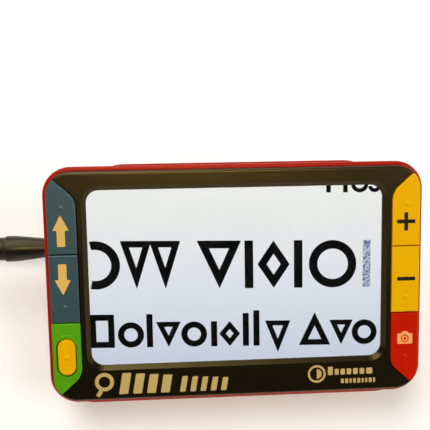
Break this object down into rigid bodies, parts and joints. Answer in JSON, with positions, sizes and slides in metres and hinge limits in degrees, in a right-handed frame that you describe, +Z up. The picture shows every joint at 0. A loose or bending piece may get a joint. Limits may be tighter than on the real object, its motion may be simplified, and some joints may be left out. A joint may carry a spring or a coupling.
{
  "type": "video magnifier",
  "caption": "Hand-held electronic magnifier with a wide lit screen, large coloured keys down both sides, a tilting reading stand, a camera underneath and a charging lead.",
  "frame": {"origin": "middle of the standing device on the table, under its box, without the charging lead", "axes": "+X to the right along the screen, +Y away from the reader, +Z up; the screen leans back 25 degrees from lying flat on its stand"},
  "size_m": [0.2337, 0.1051, 0.0542],
  "materials": {
    "casing_red": "satin moulded plastic",
    "front_black": "fine matt texture",
    "surround_green": "satin moulded plastic",
    "key_blue": "satin moulded plastic",
    "key_yellow": "satin moulded plastic",
    "key_red": "satin moulded plastic",
    "window_clear": "clear, hard coated",
    "screen_glass": "lit display",
    "panel_metal": "satin",
    "board_green": "solder mask",
    "chip_black": "matt",
    "switch_metal": "satin",
    "steel": "satin",
    "battery_wrap": "shrink film",
    "ribbon_film": "polyimide film",
    "lens_glass": "coated",
    "lamp_diffuser": "frosted",
    "lamp_white": "matt",
    "rubber_black": "matt",
    "plug_nickel": "polished",
    "plug_black": "satin",
    "cord_black": "satin",
    "tie_fabric": "hook and loop",
    "usb_steel": "bright",
    "usb_white": "satin"
  },
  "bodies": {
    "casing": {"rear_casing": "casing_red", "front_bezel": "front_black", "power_surround": "surround_green", "screen_window": "window_clear", "lcd_panel": "screen_glass", "backlight_unit": "panel_metal", "main_board": "board_green", "board_chips": "chip_black", "board_screws": "steel", "battery_pack": "battery_wrap", "display_ribbon": "ribbon_film", "left_switch_board": "board_green", "right_switch_board": "board_green", "key_switches": "switch_metal", "camera_window": "lens_glass", "camera_ring": "front_black", "lamp_windows": "lamp_diffuser", "camera_holder": "chip_black", "camera_barrel": "chip_black", "camera_lens": "lens_glass", "camera_sensor": "board_green", "lamp_boards": "lamp_white", "power_jack": "chip_black", "case_screws": "steel", "hinge_pins": "steel", "rubber_feet": "rubber_black"},
    "colour_up_key": {"colour_up_key": "key_blue"},
    "colour_down_key": {"colour_down_key": "key_blue"},
    "power_key": {"power_key": "key_yellow"},
    "zoom_in_key": {"zoom_in_key": "key_yellow"},
    "zoom_out_key": {"zoom_out_key": "key_yellow"},
    "freeze_key": {"freeze_key": "key_red"},
    "stand": {"stand_frame": "casing_red", "stand_pad": "rubber_black"},
    "power_lead": {"plug_pin": "plug_nickel", "plug_body": "plug_black", "plug_relief": "cord_black", "power_cord": "cord_black", "cord_coil": "cord_black", "cord_tail": "cord_black", "cord_tie": "tie_fabric", "usb_relief": "cord_black", "usb_mould": "plug_black", "usb_shell": "usb_steel", "usb_tongue": "usb_white"}
  },
  "joints": [
    {"name": "colour_up_press", "type": "slide", "parent": "casing", "child": "colour_up_key", "axis": [0, 0.4226, -0.9063], "range_m": [0, 0.0007], "stiffness_N_per_m": 900, "springref_m": -0.0006},
    {"name": "colour_down_press", "type": "slide", "parent": "casing", "child": "colour_down_key", "axis": [0, 0.4226, -0.9063], "range_m": [0, 0.0007], "stiffness_N_per_m": 900, "springref_m": -0.0006},
    {"name": "power_press", "type": "slide", "parent": "casing", "child": "power_key", "axis": [0, 0.4226, -0.9063], "range_m": [0, 0.0007], "stiffness_N_per_m": 900, "springref_m": -0.0006},
    {"name": "zoom_in_press", "type": "slide", "parent": "casing", "child": "zoom_in_key", "axis": [0, 0.4226, -0.9063], "range_m": [0, 0.0007], "stiffness_N_per_m": 900, "springref_m": -0.0006},
    {"name": "zoom_out_press", "type": "slide", "parent": "casing", "child": "zoom_out_key", "axis": [0, 0.4226, -0.9063], "range_m": [0, 0.0007], "stiffness_N_per_m": 900, "springref_m": -0.0006},
    {"name": "freeze_press", "type": "slide", "parent": "casing", "child": "freeze_key", "axis": [0, 0.4226, -0.9063], "range_m": [0, 0.0007], "stiffness_N_per_m": 900, "springref_m": -0.0006},
    {"name": "stand_hinge", "type": "hinge", "parent": "casing", "child": "stand", "pos_m": [0, 0.02935, 0.03297], "axis": [1, 0, 0], "range_deg": [-90, 0]},
    {"name": "plug_pull", "type": "slide", "parent": "casing", "child": "power_lead", "axis": [-1, 0, 0], "range_m": [0, 0.012]}
  ]
}
